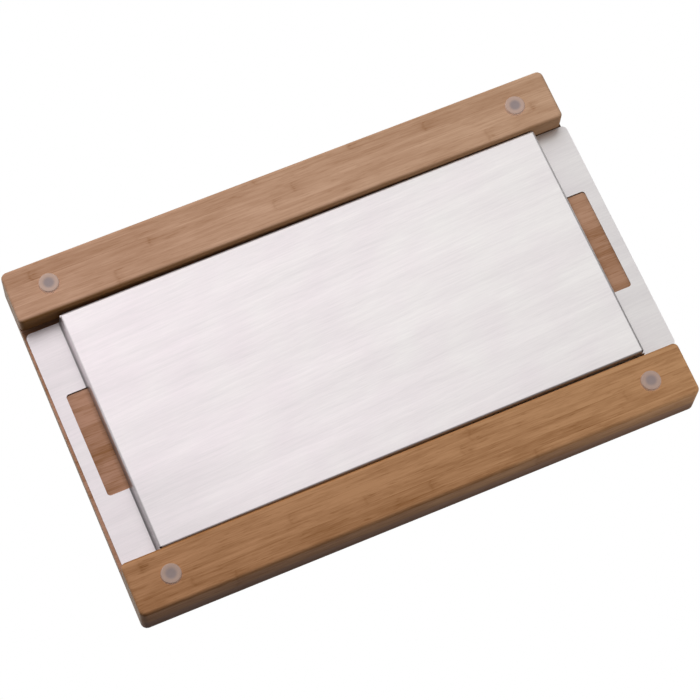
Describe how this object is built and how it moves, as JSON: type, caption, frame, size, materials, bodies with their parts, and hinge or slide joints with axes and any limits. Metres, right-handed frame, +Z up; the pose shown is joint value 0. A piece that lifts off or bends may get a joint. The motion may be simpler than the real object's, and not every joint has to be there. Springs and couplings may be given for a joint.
{
  "type": "cutting board with sliding tray",
  "caption": "Bamboo cutting board on two side rails and soft feet, with a shallow folded steel tray that slides out from either end by slotted grip flanges.",
  "frame": {"origin": "on the table under the middle of the board, in the plane of the feet", "axes": "+X along the board and the tray's slide, towards the end where the tray stands out a little at rest; +Z up to the cutting face; -Y is the front rail"},
  "size_m": [0.4544, 0.289, 0.041],
  "materials": {
    "bamboo_slab": "oiled satin",
    "bamboo_rail_front": "oiled satin",
    "bamboo_rail_back": "oiled satin",
    "brushed_sheet": "brushed lengthwise",
    "foot": "clear soft, matt",
    "screw": "satin"
  },
  "bodies": {
    "board": {"slab": "bamboo_slab", "rail_front": "bamboo_rail_front", "rail_back": "bamboo_rail_back", "foot_front_left": "foot", "foot_front_right": "foot", "foot_back_left": "foot", "foot_back_right": "foot", "screw_front_left": "screw", "screw_front_right": "screw", "screw_back_left": "screw", "screw_back_right": "screw"},
    "tray": {"tray": "brushed_sheet"}
  },
  "joints": [
    {"name": "tray_slide", "type": "slide", "parent": "board", "child": "tray", "axis": [1, 0, 0], "range_m": [-0.46, 0.46]}
  ]
}
